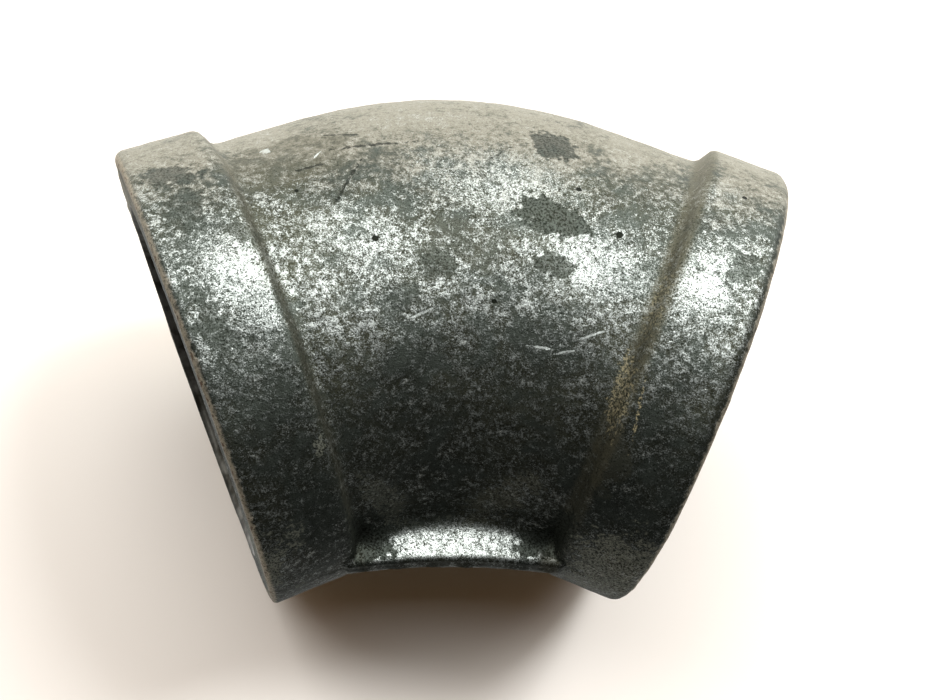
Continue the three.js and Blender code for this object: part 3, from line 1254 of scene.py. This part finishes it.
@dataclass
class SandCastSkin:
    """The unevenness that a sand mould leaves, pushed into the mesh along its normals.

    Attributes:
        PAINTED: Names of the values that are kept at the vertices.
        layers: Height and grains per millimetre of each layer of unevenness.
        shrink: How far the whole skin stays inside the pattern's shape.
        clear: How far outside the thread's mouth the unevenness starts, and over what length it grows.
        flash: Height and half-width of the ground-off flash at the level of the bend.
        flash_break: Its strength on average, and grains per millimetre of the noise that breaks it up.
        web_flash: Its extra height on the web's free edge.
        web_flash_from: Distance towards the throat at which that starts, and over what length it grows.
        web_flash_fade: Length over which it ends before the bands.
        dirt: How thick the dirt lies in each end's groove, and how far it spreads.
        edge_width: How far in from an end face its edge reaches.
        edge_ring: How far inside the band's radius the edge starts, and over what length it grows.
        web_start: Distance towards the throat at which the web is rubbed and given a painted highlight, and
            over what length that grows.
        web_height: Height above the bend's level at which that has ended, and over what length it falls.
        web_gap: Length over which it grows from the grooves.
        upward: Upright part of a normal where rubbing and painted highlight start, and the range they grow
            over.
        band_fade: Length over which what holds on a band fades at its inner side.
        back: Distance to the throat's side at which the back starts, and over what length it grows.
        wear_and_highlight_parts: Rubbing and painted highlight all over, where it faces up, more of that on
            bands, and on the web.
        wear_and_highlight_back: How much less rubbing and painted highlight at the back, as a share of what
            faces up, and all over.
        dust_and_sheen: Distance to the throat's side at which the pale coat and its painted reflection
            start, how much further on a band, and over what length it grows.
    """

    PAINTED: ClassVar[tuple[str, ...]] = ("groove", "edge", "wear_and_highlight", "bloom_and_sheen")

    layers: Sequence[tuple[float, float]] = ((0.10 * MM, 0.08), (0.07 * MM, 0.3), (0.035 * MM, 0.9))
    shrink: float = 0.08 * MM
    clear: tuple[float, float] = (0.3 * MM, 1.0 * MM)
    flash: tuple[float, float] = (0.10 * MM, 0.45 * MM)
    flash_break: tuple[float, float] = (0.8, 0.4)
    web_flash: float = 0.22 * MM
    web_flash_from: tuple[float, float] = (32.0 * MM, 1.0 * MM)
    web_flash_fade: float = 2.0 * MM
    dirt: Mapping[End, tuple[float, float]] = field(
        default_factory=lambda: {End.LEFT: (0.7, 0.8 * MM), End.RIGHT: (1.15, 1.3 * MM)}
    )
    edge_width: float = 0.7 * MM
    edge_ring: tuple[float, float] = (2.5 * MM, 1.5 * MM)
    web_start: tuple[float, float] = (27.5 * MM, 3.0 * MM)
    web_height: tuple[float, float] = (6.0 * MM, 3.0 * MM)
    web_gap: float = 1.5 * MM
    upward: tuple[float, float] = (0.75, 0.22)
    band_fade: float = 0.8 * MM
    back: tuple[float, float] = (14.0 * MM, 16.0 * MM)
    wear_and_highlight_parts: tuple[float, float, float, float] = (0.34, 0.34, 0.02, 0.60)
    wear_and_highlight_back: tuple[float, float] = (0.6, 0.20)
    dust_and_sheen: tuple[float, float, float] = (8.0 * MM, 4.0 * MM, 18.0 * MM)

    def press(self, piece: bpy.types.Object, casting: ElbowCasting, low: Vector, high: Vector) -> None:
        """Moves the vertices of the outside, and leaves the threads true.

        Args:
            piece: The casting's object.
            casting: Its sizes.
            low: The lowest corner that the casting may reach.
            high: The highest corner.
        """
        mesh = piece.data
        places, normals = self.read(mesh)
        local = places - np.array(casting.run.corner)
        distance, offset = casting.run.locate(local)
        radius = np.hypot(offset, local[:, 2])
        free = smooth_step((radius - casting.thread.mouth_radius - self.clear[0]) / self.clear[1])
        height = np.full(len(places), -self.shrink)
        start, length = self.web_flash_from
        on_web = smooth_step((-start - local[:, 1]) / length)
        on_web *= smooth_step((casting.web_end_x - np.abs(local[:, 0])) / self.web_flash_fade)
        for index in np.flatnonzero(free > 0.0):
            place = Vector(places[index]) / MM
            height[index] += sum(tall * noise.noise(place * per_mm) for tall, per_mm in self.layers)
            seam = self.flash[0] + self.web_flash * on_web[index]
            seam *= self.flash_break[0] + noise.noise(place * self.flash_break[1])
            height[index] += seam * math.exp(-((local[index, 2] / self.flash[1]) ** 2))
        places += normals * (height * free)[:, None]
        np.clip(places, np.array(low), np.array(high), out=places)
        mesh.vertices.foreach_set("co", places.ravel())
        mesh.update()
        self.paint(mesh, casting, local, normals, casting.run.half_run - distance, radius)

    @staticmethod
    def read(mesh: bpy.types.Mesh) -> tuple[np.ndarray, np.ndarray]:
        """Reads a mesh's vertices and their normals.

        Args:
            mesh: The mesh.

        Returns:
            The places and the unit normals, by vertex.
        """
        count = len(mesh.vertices)
        places, normals = np.empty(count * 3), np.empty(count * 3)
        mesh.vertices.foreach_get("co", places)
        mesh.vertex_normals.foreach_get("vector", normals)
        return places.reshape(-1, 3), normals.reshape(-1, 3)

    def paint(
        self,
        mesh: bpy.types.Mesh,
        casting: ElbowCasting,
        local: np.ndarray,
        normals: np.ndarray,
        depth: np.ndarray,
        radius: np.ndarray,
    ) -> None:
        """Keeps at each vertex how deep in a groove it lies, how near an edge, how rubbed with painted
        highlight, and how dusty with a painted reflection of the bright back.

        Args:
            mesh: The casting's mesh.
            casting: Its sizes.
            local: Places from the corner.
            normals: Their normals.
            depth: Their depths from the nearer end face.
            radius: Their distances from the centreline.
        """
        foot = casting.band_width + casting.shoulder
        right = (local[:, 0] > 0.0)[:, None]
        dirt, spread = np.where(right, self.dirt[End.RIGHT], self.dirt[End.LEFT]).T
        groove = dirt * np.exp(-(((depth - foot + 0.5 * casting.shoulder) / spread) ** 2))
        inset, length = self.edge_ring
        edge = np.exp(-((depth / self.edge_width) ** 2))
        edge *= smooth_step((radius - casting.band_radius + inset) / length)

        start, length = self.web_start
        on_web = smooth_step((-start - local[:, 1]) / length)
        top, length = self.web_height
        on_web *= smooth_step((top - np.abs(local[:, 2])) / length)
        on_web *= smooth_step((depth - foot) / self.web_gap)
        least, span = self.upward
        facing_up = smooth_step((normals[:, 2] - least) / span)
        on_band = smooth_step((casting.band_width - depth) / self.band_fade)
        start, length = self.back
        backward = smooth_step((local[:, 1] + start) / length)

        overall, up, more_on_band, web = self.wear_and_highlight_parts
        less_up, less = self.wear_and_highlight_back
        # Painted highlight: more bright grains where the surface faces up and on the web's top, fewer at
        # the back.
        wear_and_highlight = (up + more_on_band * on_band) * facing_up * (1.0 - less_up * backward)
        wear_and_highlight = overall + wear_and_highlight - less * backward + web * on_web * facing_up
        start, further, length = self.dust_and_sheen
        # Painted reflection: the back is made paler, standing for the bright back seen at a grazing angle,
        # with a powdery coat.
        bloom_and_sheen = smooth_step((local[:, 1] + start + further * on_band) / length)
        for name, values in zip(self.PAINTED, (groove, edge, wear_and_highlight, bloom_and_sheen)):
            made = mesh.attributes.new(name, "FLOAT", "POINT")
            made.data.foreach_set("value", values.astype(np.float32))


# ---- the stage -----------------------------------------------------------------------------------


@dataclass(frozen=True)
class Lamp:
    """A soft square lamp that faces the fitting.

    Attributes:
        name: Its name.
        azimuth: Degrees round from the throat's side towards the right-hand mouth.
        elevation: Degrees above the board.
        size: Its side.
        power: Its power in watts.
        away: Its distance from the fitting.
    """

    name: str
    azimuth: float
    elevation: float
    size: float
    power: float
    away: float = 0.6

    def hang(self, middle: Vector) -> None:
        """Hangs the lamp.

        Args:
            middle: The place that it faces.
        """
        a, e = math.radians(self.azimuth), math.radians(self.elevation)
        towards = Vector((math.sin(a) * math.cos(e), -math.cos(a) * math.cos(e), math.sin(e)))
        data = bpy.data.lights.new(self.name, "AREA")
        data.size = self.size
        data.energy = self.power
        made = bpy.data.objects.new(self.name, data)
        made.location = middle + towards * self.away
        made.rotation_euler = towards.to_track_quat("Z", "Y").to_euler()
        bpy.context.scene.collection.objects.link(made)


@dataclass
class Stage:
    """The board, the lights, the surroundings and the camera.

    Attributes:
        low: The lowest corner of the fitting's box.
        high: Its highest corner.
        tilt: How far the camera stands over to the throat's side, from straight above.
        swing: How far it stands over to the left.
        roll: How far it is turned about its own axis.
        distance: From the camera to the point that it faces.
        aim_offset: That point, from the middle of the box.
        lens_mm: The camera's focal length in millimetres.
        board_half: Half of the board's side.
        lamps: The lamps.
        room: Strength of the room's light all round, more of it behind the back, and more from below.
        day_colour: Colour of that light.
        fill_colour: Its colour for diffuse rays away from the bright side.
    """

    low: Vector
    high: Vector
    tilt: float = math.radians(26.36)
    swing: float = math.radians(6.2)
    roll: float = math.radians(1.66)
    distance: float = 132.4 * MM
    aim_offset: Vector = field(default_factory=lambda: Vector((1.96, -0.57, 0.0)) * MM)
    lens_mm: float = 42.15
    board_half: float = 1.5
    lamps: Sequence[Lamp] = (
        Lamp("key", 118.0, 62.0, 0.16, 1.9),
        Lamp("left", 240.0, 63.0, 0.30, 1.1),
        Lamp("right", 120.0, 36.0, 0.30, 1.0),
        Lamp("top", 180.0, 86.0, 0.30, 0.8),
    )
    room: tuple[float, float, float] = (0.09, 2.5, 0.35)
    day_colour: Colour = (1.0, 0.995, 0.97)
    fill_colour: Colour = (1.0, 0.50, 0.16)

    @property
    def middle(self) -> Vector:
        """The middle of the fitting's box."""
        return (self.low + self.high) / 2.0

    def camera(self) -> None:
        """Puts the camera above the throat, looking down on the fitting."""
        turned = (
            Matrix.Rotation(-self.swing, 4, "Y")
            @ Matrix.Rotation(self.tilt, 4, "X")
            @ Matrix.Rotation(-self.roll, 4, "Z")
        )
        aim = self.middle + self.aim_offset
        data = bpy.data.cameras.new("camera")
        data.lens = self.lens_mm
        data.clip_start = 1.0 * MM
        made = bpy.data.objects.new("camera", data)
        made.matrix_world = Matrix.Translation(aim + turned.col[2].to_3d() * self.distance) @ turned
        bpy.context.scene.collection.objects.link(made)
        bpy.context.scene.camera = made

    def board(self) -> None:
        """Lays the board under the fitting."""
        half = self.board_half
        mesh = bpy.data.meshes.new("board")
        corners = [(-half, -half, 0.0), (half, -half, 0.0), (half, half, 0.0), (-half, half, 0.0)]
        mesh.from_pydata(corners, [], [(0, 1, 2, 3)])
        mesh.materials.append(PaleBoard().material())
        made = bpy.data.objects.new("board", mesh)
        made.location.z = self.low.z
        made.visible_glossy = False
        bpy.context.scene.collection.objects.link(made)

    def surroundings(self) -> None:
        """Makes the room bright on the side of the bend's back and dark on the throat's side."""
        world = bpy.data.worlds.new("room")
        bpy.context.scene.world = world
        world.use_nodes = True
        graph = Graph(world.node_tree)
        way = graph.node("ShaderNodeTexCoord", output="Generated")
        back = graph.node("ShaderNodeSeparateXYZ", None, {0: way}, output="Y")
        seen = graph.node("ShaderNodeLightPath", output="Is Camera Ray")
        up = graph.node("ShaderNodeSeparateXYZ", None, {0: way}, output="Z")
        all_round, behind, below = self.room
        day = back.between(0.05, 0.8)
        fill = up.between(-0.5, -0.9, 0.0, below)
        matt = graph.node("ShaderNodeLightPath", output="Is Diffuse Ray")
        shade = graph.mix(matt, self.day_colour, self.fill_colour)
        glow = graph.mix(day, shade, self.day_colour)
        strength = (all_round + day * behind + fill) * (1.0 - seen) + seen
        colour = graph.mix(seen, glow, (1.0, 1.0, 1.0))
        sky = graph.node("ShaderNodeBackground", None, {"Color": colour, "Strength": strength})
        graph.node("ShaderNodeOutputWorld", None, {"Surface": sky})

    def build(self) -> None:
        """Sets the whole stage."""
        self.camera()
        self.board()
        for lamp in self.lamps:
            lamp.hang(self.middle)
        self.surroundings()
        bpy.context.scene.view_settings.view_transform = "Standard"


def main() -> None:
    """Builds the fitting and its stage."""
    logging.basicConfig(level=logging.INFO, format="%(message)s")
    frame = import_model()
    low, high = (Vector(corner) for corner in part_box(NODE))
    band_radius = (high.z - low.z) / 2.0
    middle = (low + high) / 2.0
    run = PipeRun.from_frame(frame["record"], middle, band_radius - BEND_INSET)
    casting = ElbowCasting(run, band_radius)
    piece = casting.build()
    bpy.context.scene.collection.objects.link(piece)
    SandCastSkin().press(piece, casting, low, high)
    piece.data.materials.append(CastZinc().material(casting))
    piece.data.materials.append(TappedIron().material(casting))
    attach(piece, "root")
    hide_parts(NODE)
    LOG.info("casting: %d vertices", len(piece.data.vertices))
    Stage(low, high).build()


if __name__ == "__main__":
    main()
